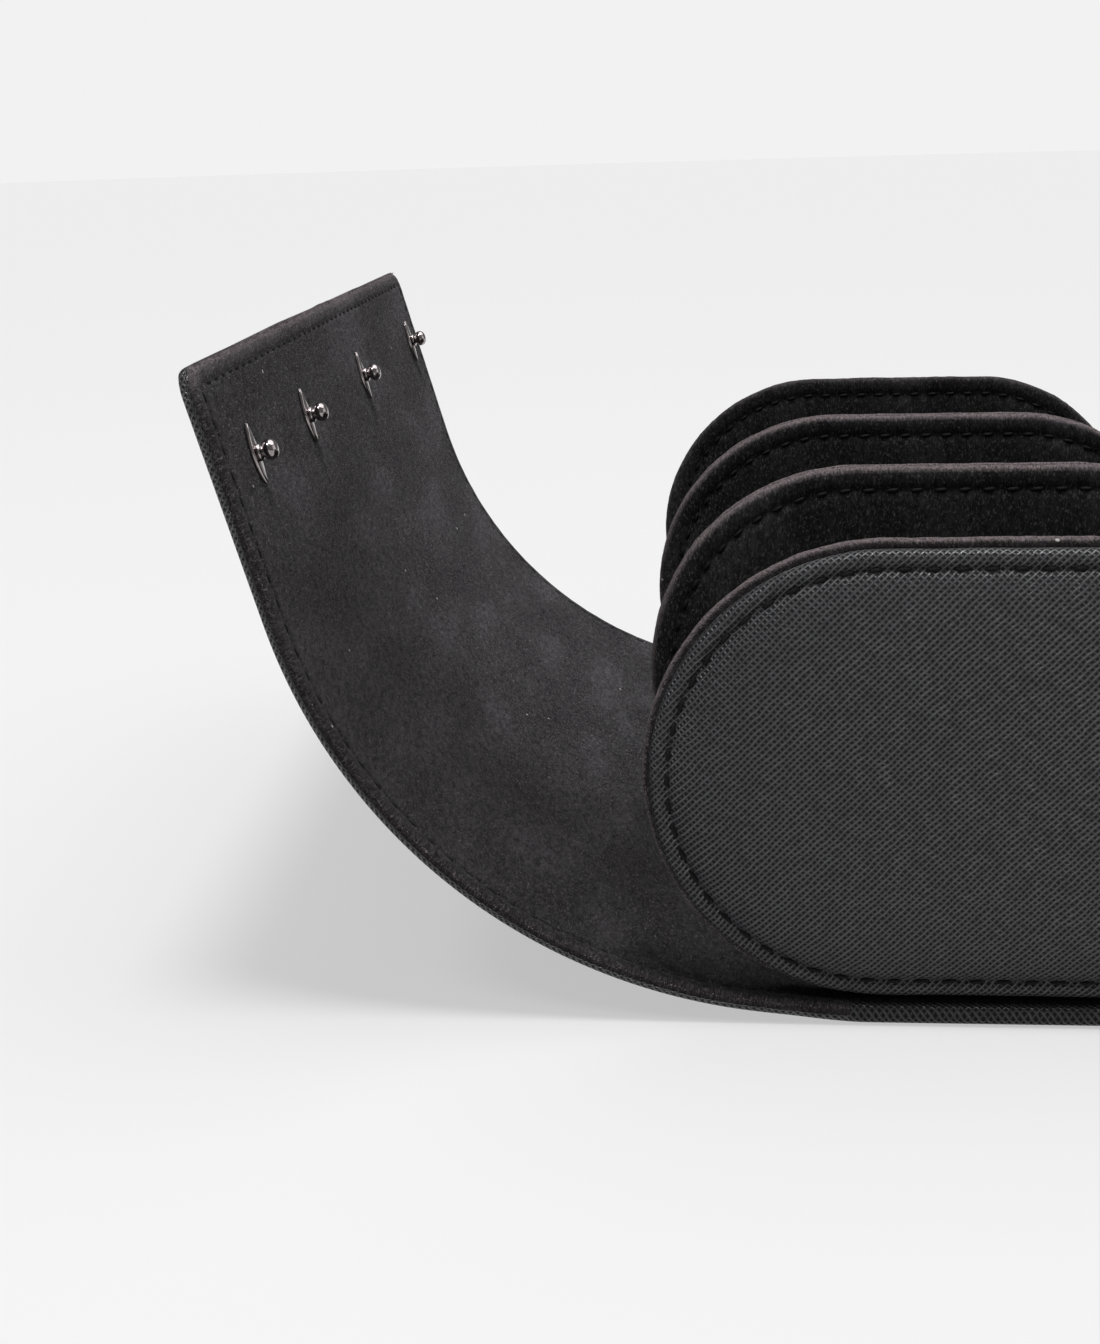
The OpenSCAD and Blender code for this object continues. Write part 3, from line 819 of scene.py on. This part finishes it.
def sheetPiece(name, line, start, stop, kind, lip, material, slotName):
    half = coverSection(lip) if kind == "cover" else liningSection(lip)
    ring = half + [(-y, where, z) for y, where, z in reversed(half[1:-1])]
    around = len(ring)
    rows = sheetRows(start, stop, line)
    travel = [0.0]
    for a, b in zip(ring, ring[1:] + ring[:1]):
        za, zb = [z - (boxSize["sheetThick"] if where == "under" and kind == "cover" else 0)
                  for _, where, z in (a, b)]
        travel.append(travel[-1] + math.hypot(a[0] - b[0], za - zb))
    middle = travel[len(half) - 1]

    def place(row, turn):
        s = rows[row]
        y, where, rise = ring[turn % around]
        width = halfWidth(line, s) / boxSize["sheetHalfWidth"]
        left = line.length - s
        if left < sheetShape["trimReach"]:  # the free end was trimmed by hand
            trim = 0.3 + 0.5 * soften(y, 5, 2, 24) + 0.25 * soften(y, 9, 4, 7)
            s += trim * smooth(sheetShape["trimReach"], 0, left)
        if kind == "cover":
            up = underside(s) + rise if where == "under" else rise
            if where == "under" and left < sheetShape["edgeRound"]:
                turnIn = sheetShape["edgeRound"]
                up = max(up, underside(s) + turnIn - math.sqrt(max(0.0, turnIn ** 2 - (turnIn - left) ** 2)))
            if where == "seam":
                up = seamLevel(line, s) + rise
            if where == "under" and abs(y) < 107:
                up -= 0.05 * soften(s, y, 20, 9)
            return line.point(s, y * width, up)
        bottom = -1.02 if lip else seamLevel(line, s) - 0.02
        if where == "under":
            up = bottom
        elif where == "flank":
            up = bottom + rise * (sheetShape["liningFoot"] - bottom)
        else:
            up = liningTop(line, s, y * width, lip)
        return line.point(s, y * width, up)

    def mark(row, turn):
        # the suede is measured from its middle, and the leather's pattern starts elsewhere
        return rows[row] * line.sign, travel[turn] + 300 if kind == "cover" else travel[turn] - middle

    def edge(row, turn):
        # pale fuzz with a painted highlight along the suede's edges, strongest round the free end
        if ring[turn % around][1] == "under":
            return 0.0
        tip = smooth(6, 0, line.length - rows[row])
        inside = edgeDistance(line, rows[row], ring[turn % around][0]) - lip
        return 0.15 * smooth(1.6, 0.2, inside) + 0.45 * tip * smooth(4.5, 0.5, inside)

    piece = growPiece(name, around, len(rows), place, mark, edge)
    return dress(piece, material, slotName)


def stitchesAlong(line, start, stop, ends):
    # both long edges, on both faces, and the free edge at the tip
    spots = []
    inset, pitch = sheetShape["grooveInset"], stitchShape["pitch"]
    y = boxSize["sheetHalfWidth"] - inset
    last = line.length - inset - 1.5
    first = math.ceil(start / pitch - 0.5)
    count = first
    while (count + 0.5) * pitch < min(stop, last):
        s = (count + 0.5) * pitch
        ahead, up = line.directions(s)
        for side in (-1, 1):
            spots.append((line.point(s, side * y, -sheetShape["grooveDepth"] + 0.02), ahead, up))
            spots.append((line.point(s, side * y, underside(s) + 0.16), ahead, [-v for v in up]))
        count += 1
    if ends:
        s = line.length - inset
        ahead, up = line.directions(s)
        count = int(2 * (y - 2) / pitch)
        for i in range(count):
            across = (i + 0.5 - count / 2) * pitch
            spots.append((line.point(s, across, -sheetShape["grooveDepth"] + 0.02), (0, 1, 0), up))
            spots.append((line.point(s, across, underside(s) + 0.16), (0, 1, 0), [-v for v in up]))
    return spots


def edgeFibres(name, line, start, stop, tip):
    # along both long edges of the suede, and round the free end
    spots = []
    gap = fibreShape["edgeGap"]
    for side in (-1, 1):
        for count in range(int((stop - start) / gap)):
            s = start + (count + 0.5) * gap
            ahead, up = line.directions(s)
            rise = -0.25 - 0.9 * (0.5 + 0.5 * soften(count * 1.9, side, 6, 1))
            out = (-0.35 * up[0], side, -0.35 * up[2]) if rise < -0.7 else (0.5 * up[0], side, 0.5 * up[2])
            spots.append((line.point(s, side * (halfWidth(line, s) - 0.12), rise), out, ahead))
    if tip:
        reach = boxSize["sheetHalfWidth"] - boxSize["cornerRadius"] / 2
        for count in range(int(2 * reach / gap)):
            across = -reach + (count + 0.5) * gap
            s = line.length - 0.12
            ahead, up = line.directions(s)
            rise = -0.2 - 0.8 * (0.5 + 0.5 * soften(count * 1.9, 3, 6, 1))
            out = [a + 0.4 * b for a, b in zip(ahead, up)]
            spots.append((line.point(s, across, rise), out, (0, 1, 0)))
    return fibreRow(name, spots)


def buildBase():
    # the base is grown as one straight run, from the left flap's start to the right one's
    reach = flapLines["right"].start

    class StraightRun:
        sign = 1
        length = 1e4  # no free end near

        def point(self, s, y, up):
            return s, y, boxSize["baseThick"] + up

    run = StraightRun()
    left = flapLines["left"].start
    cover = sheetPiece("baseCover", run, -left, reach, "cover", sheetShape["baseLip"], baseLeather, "leather")
    lining = sheetPiece("baseLining", run, -left, reach, "lining", sheetShape["baseLip"], suede, "suede")
    for piece, node in ((cover, "base_cover"), (lining, "base_lining")):
        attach(piece, "box")
        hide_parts(node)


def buildFlap(side):
    line = flapLines[side]
    tick = sheetShape["tickPlace"]
    for number in range(6):
        first = line.start + number * line.link
        last = first + line.link
        ends = [[v * mm for v in line.point(s, 0, 0)] for s in (first, last)]
        spans = [(first, last, 0.0, "")] if number else [
            (first, tick, sheetShape["baseLip"], "Root"), (tick, last, 0.0, "")]
        for start, stop, lip, tail in spans:
            made = [
                sheetPiece(f"{side}FlapCover{number + 1}{tail}", line, start, stop, "cover", lip,
                           baseLeather if lip else leather, "leather"),
                sheetPiece(f"{side}FlapLining{number + 1}{tail}", line, start, stop, "lining", lip, suede, "suede")]
            spots = stitchesAlong(line, start, stop, False)
            if spots:
                made.append(sewRow(f"{side}FlapStitches{number + 1}{tail}", spots))
            if not lip:
                made.append(edgeFibres(f"{side}FlapFibres{number + 1}{tail}", line, start, stop, False))
            for piece in made:
                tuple(ends[0])
                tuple(ends[1])
                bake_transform(piece)
            if number and number < 6:
                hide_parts(f"{side}_flap_cover_{number}")
                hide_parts(f"{side}_flap_lining_{number}")
    start = line.start + 6 * line.link
    cover = sheetPiece(f"{side}EndCover", line, start, line.length, "cover", 0.0, leather, "leather")
    lining = sheetPiece(f"{side}EndLining", line, start, line.length, "lining", 0.0, suede, "suede")
    stitches = sewRow(f"{side}EndStitches", stitchesAlong(line, start, line.length, True))
    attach(edgeFibres(f"{side}EndFibres", line, start, line.length - 1.0, True), side + "_end")
    for piece, node in ((cover, "cover"), (lining, "lining"), (stitches, "stitching")):
        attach(piece, side + "_end")
        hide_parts(f"{side}_end_{node}")
    print(side, "flap ready")


buildBase()
buildFlap("left")
buildFlap("right")

hookSize = {
    "places": [-88.5, -42.5, 21.5, 95.5],  # front to back
    "fromEnd": 20.0,
    "leafLength": 12.2,
    "leafWidth": 4.1,
    "leafThick": 0.8,
    # knob profile: (radius, height above the leaf)
    "knob": [(1.5, 0.0), (1.72, 0.2), (1.8, 0.45), (1.72, 0.7), (1.45, 0.9), (1.2, 1.02), (1.12, 1.16), (1.2, 1.3),
             (1.5, 1.42), (1.82, 1.68), (2.02, 2.05), (2.1, 2.5), (2.04, 2.95), (1.86, 3.35), (1.55, 3.68),
             (1.12, 3.92), (0.6, 4.04), (0.2, 4.07)],
}


def turnedPiece(name, profile, around, spot, ahead, across, up):
    def place(ring, turn):
        radius, height = profile[ring]
        angle = 2 * math.pi * turn / around
        return (Vector(spot) + Vector(ahead) * radius * math.cos(angle) + Vector(across) * radius * math.sin(angle)
                + Vector(up) * height)

    return dress(growPiece(name, around, len(profile), place), nickel, "steel")


def leafPiece(name, spot, ahead, across, up):
    length, width, thick = hookSize["leafLength"] / 2, hookSize["leafWidth"] / 2, hookSize["leafThick"]
    side = 18
    # (share of the outline, share of the thickness), from the back face up over the softly raised front
    rows = [(1.0, 0.0), (1.0, 0.45), (0.96, 0.72), (0.88, 0.88), (0.7, 1.0), (0.4, 1.08), (0.15, 1.1)]
    arc = (length * length + width * width) / (2 * width)

    def place(ring, turn):
        share = turn % side / side
        sign = 1 if turn < side else -1
        x = sign * (1 - 2 * share) * length
        y = sign * (math.sqrt(max(0.0, arc * arc - x * x)) - (arc - width))
        size, rise = rows[ring]
        shrink = 1 - (1 - size) * width / length if size > 0.5 else size
        return (Vector(spot) + Vector(ahead) * x * shrink + Vector(across) * y * size + Vector(up) * thick * rise)

    return dress(growPiece(name, 2 * side, len(rows), place), nickel, "steel")


def joinPieces(name, pieces):
    bpy.ops.object.select_all(action="DESELECT")
    for piece in pieces:
        piece.select_set(True)
    bpy.context.view_layer.objects.active = pieces[0]
    bpy.ops.object.join()
    whole = bpy.context.object
    whole.name = whole.data.name = name
    return whole


def buildHooks():
    line = flapLines["left"]
    s = line.length - hookSize["fromEnd"]
    ahead, up = line.directions(s)
    leaves, knobs = [], []
    for number, y in enumerate(hookSize["places"]):
        leaves.append(leafPiece(f"hookLeaf{number}", line.point(s, y, -0.1), ahead, (0, 1, 0), up))
        knobs.append(turnedPiece(f"hookKnob{number}", hookSize["knob"], 40,
                                 line.point(s, y, hookSize["leafThick"] - 0.1), ahead, (0, 1, 0), up))
    for name, parts, node in (("hookLeaves", leaves, "hook_plates"), ("hookKnobs", knobs, "hook_knobs")):
        whole = joinPieces(name, parts)
        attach(whole, "left_end")
        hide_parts(node)
    print("hooks ready")


snapSize = {
    "acrossPlace": 62.0,
    "fromEnd": 13.0,
    "cap": [(5.7, 0.0), (6.0, 0.15), (6.0, 0.4), (5.8, 0.62), (5.3, 0.78), (4.4, 0.9), (3.2, 0.98), (1.8, 1.02),
            (0.6, 1.03)],
    # from the bottom of the well, up its wall, over the rim and down outside
    "socket": [(1.2, -1.1), (2.4, -1.1), (2.8, -1.05), (2.9, -0.9), (2.9, 0.0), (3.05, 0.14), (3.4, 0.2), (3.9, 0.2),
               (4.3, 0.12), (4.5, -0.02), (4.55, -0.3), (4.5, -1.15), (3.2, -1.25), (1.2, -1.25)],
    "wellRadius": 3.1,
    "punchDepth": 4,
    "stud": [(3.4, 0.0), (3.45, 0.2), (3.35, 0.4), (3.0, 0.5), (2.4, 0.52), (2.0, 0.6), (1.95, 0.8), (2.1, 1.05),
             (2.1, 1.3), (1.9, 1.52), (1.4, 1.66), (0.7, 1.7), (0.2, 1.7)],
}


def buildSnaps():
    right, left = flapLines["right"], flapLines["left"]
    s = right.length - snapSize["fromEnd"]
    ahead, up = right.directions(s)
    down = [-v for v in up]
    fromFold = boxSize["endLength"]["right"] - snapSize["fromEnd"]
    sLeft = left.length - boxSize["endLength"]["left"] + left.places[0][0] + right.places[0][0] - fromFold
    aheadLeft, upLeft = left.directions(sLeft)
    sheet = boxSize["sheetThick"]
    caps, sockets, studs = [], [], []
    for side in (-1, 1):
        y = side * snapSize["acrossPlace"]
        caps.append(turnedPiece(f"snapCap{side}", snapSize["cap"], 48,
                                right.point(s, y, -sheet), ahead, (0, 1, 0), down))
        sockets.append(turnedPiece(f"snapSocket{side}", snapSize["socket"], 48,
                                   right.point(s, y, 0), ahead, (0, 1, 0), up))
        studs.append(turnedPiece(f"snapStud{side}", snapSize["stud"], 40,
                                 left.point(sLeft, y, -sheet), aheadLeft, (0, 1, 0), [-v for v in upLeft]))
        # the suede is punched through under each socket
        bpy.ops.object.select_all(action="DESELECT")
        bpy.ops.mesh.primitive_cylinder_add(vertices=32, radius=snapSize["wellRadius"] * mm,
                                            depth=snapSize["punchDepth"] * mm,
                                            location=Vector(right.point(s, y, 0)) * mm)
        punch = bpy.context.object
        punch.rotation_euler = Vector(up).to_track_quat("Z", "Y").to_euler()
        lining = bpy.data.objects["rightEndLining"]
        bpy.context.view_layer.objects.active = lining
        bpy.ops.object.modifier_add(type="BOOLEAN")
        lining.modifiers[-1].object = punch
        lining.modifiers[-1].operation = "DIFFERENCE"
        bpy.ops.object.modifier_apply(modifier=lining.modifiers[-1].name)
        bpy.data.objects.remove(punch)
    for name, parts, node, body in (("snapCaps", caps, "snap_caps", "right_end"),
                                    ("snapSockets", sockets, "snap_sockets", "right_end"),
                                    ("snapStuds", studs, "snap_studs", "left_end")):
        whole = joinPieces(name, parts)
        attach(whole, body)
        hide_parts(node)
    print("snaps ready")


buildHooks()
buildSnaps()
bpy.data.objects.remove(seedStitch)

# the pieces that stay as the frame has them
for nodeName, node in frame["nodes"].items():
    node.data.materials.clear()
    node.data.materials.append(millboard if nodeName.endswith("board") else nickel)

print("box ready")
